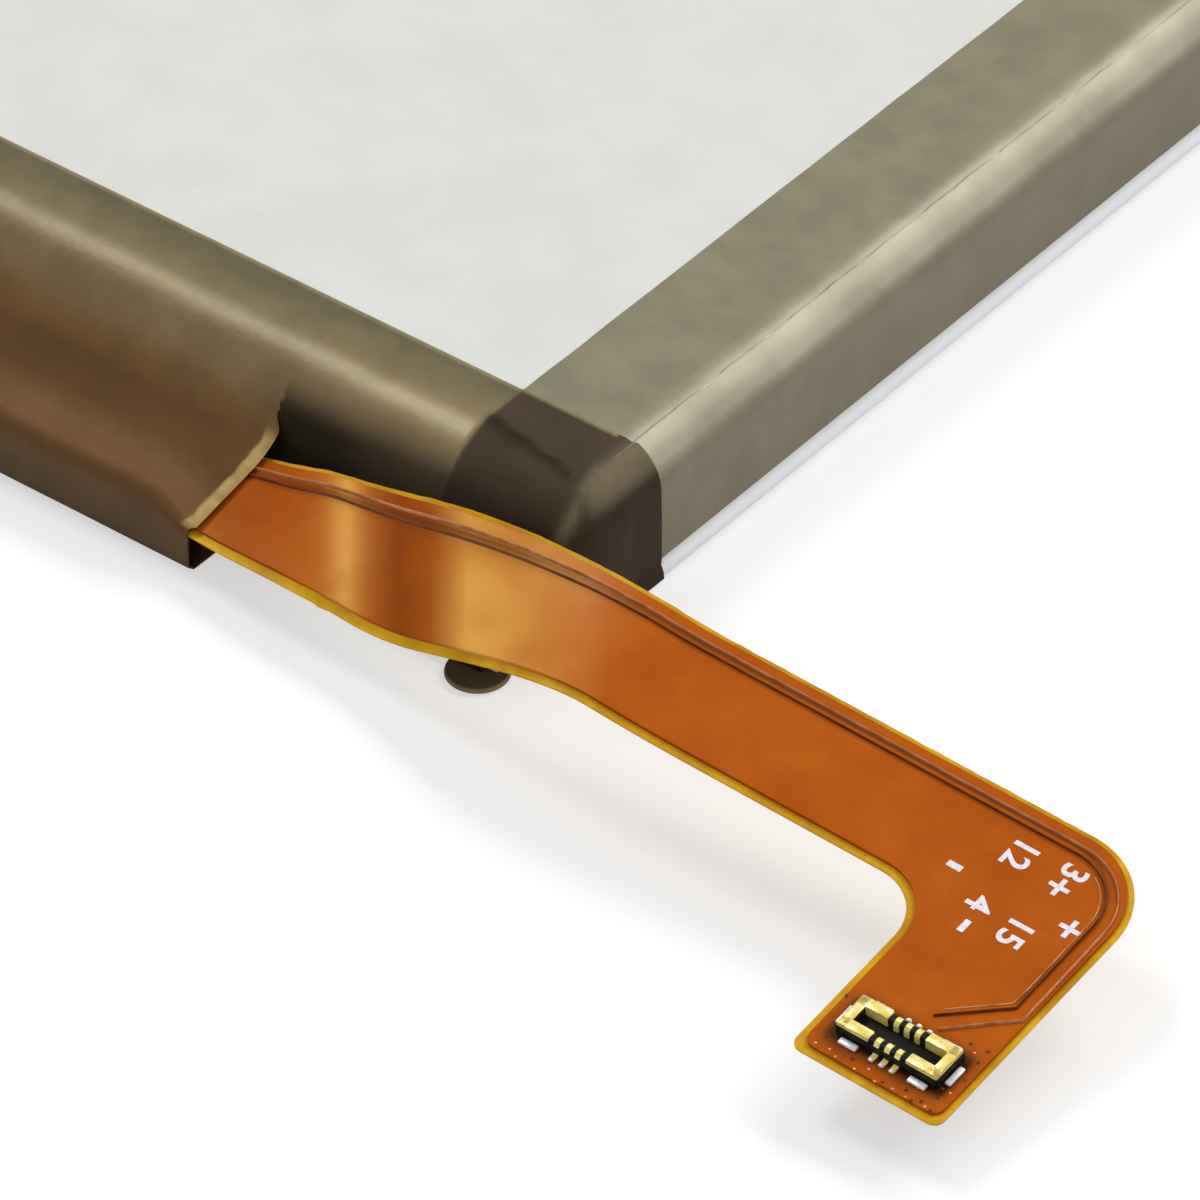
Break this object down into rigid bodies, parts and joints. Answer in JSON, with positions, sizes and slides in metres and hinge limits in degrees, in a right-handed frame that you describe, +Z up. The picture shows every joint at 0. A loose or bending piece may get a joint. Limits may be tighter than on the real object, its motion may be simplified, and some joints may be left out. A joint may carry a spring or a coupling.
{
  "type": "lithium pouch battery pack",
  "caption": "Flat rectangular pouch battery pack with taped edges, a taped-over protection board on its front ledge and an L-shaped amber flex lead ending in a tiny board header.",
  "frame": {"origin": "centre of the cell's flat bottom, midway between the cup's front and rear walls", "axes": "+Z up through the cell's thickness, +X towards the side where the lead comes out, +Y along the cell, away from the protection board"},
  "size_m": [0.0835, 0.0993, 0.0049],
  "materials": {
    "pouch": "satin pale grey pouch laminate",
    "aluminium_tab": "plain rolled aluminium strip",
    "nickel": "rolled nickel strip",
    "tab_film": "heat-sealed milky film",
    "foam": "thin foam strip",
    "board": "green solder mask",
    "chip_black": "moulded black",
    "chip_ceramic": "fired ceramic",
    "amber_film": "thin amber film",
    "flex_base": "bare yellow film",
    "flex_copper": "copper under an amber cover film",
    "trace": "raised trace under a cover film",
    "solder": "bright solder",
    "stiffener": "plain laminate",
    "housing_black": "moulded black",
    "contact_gold": "gold plate",
    "front_tape": "thin taupe tape, semi-gloss",
    "edge_tape": "thin grey translucent tape, semi-gloss"
  },
  "bodies": {
    "root": {"pouch_cell": "pouch", "positive_tab": "aluminium_tab", "negative_tab": "nickel", "positive_tab_film": "tab_film", "negative_tab_film": "tab_film", "terrace_foam": "foam", "protection_board": "board", "positive_weld_plate": "nickel", "negative_weld_plate": "nickel", "power_switches": "chip_black", "protection_chip": "chip_black", "sense_resistor": "chip_black", "chip_fuse": "chip_ceramic", "chip_capacitors": "chip_ceramic", "chip_resistors": "chip_black", "thermistor": "chip_ceramic", "board_wrap": "amber_film", "flex_base_film": "flex_base", "flex_copper": "flex_copper", "sense_traces": "trace", "flex_solder": "solder", "flex_stiffener": "stiffener", "header_housing": "housing_black", "signal_contacts": "contact_gold", "positive_contact": "contact_gold", "negative_contact": "contact_gold", "contact_solder": "solder", "front_tape": "front_tape", "right_edge_tape": "edge_tape", "left_edge_tape": "edge_tape"}
  },
  "joints": []
}
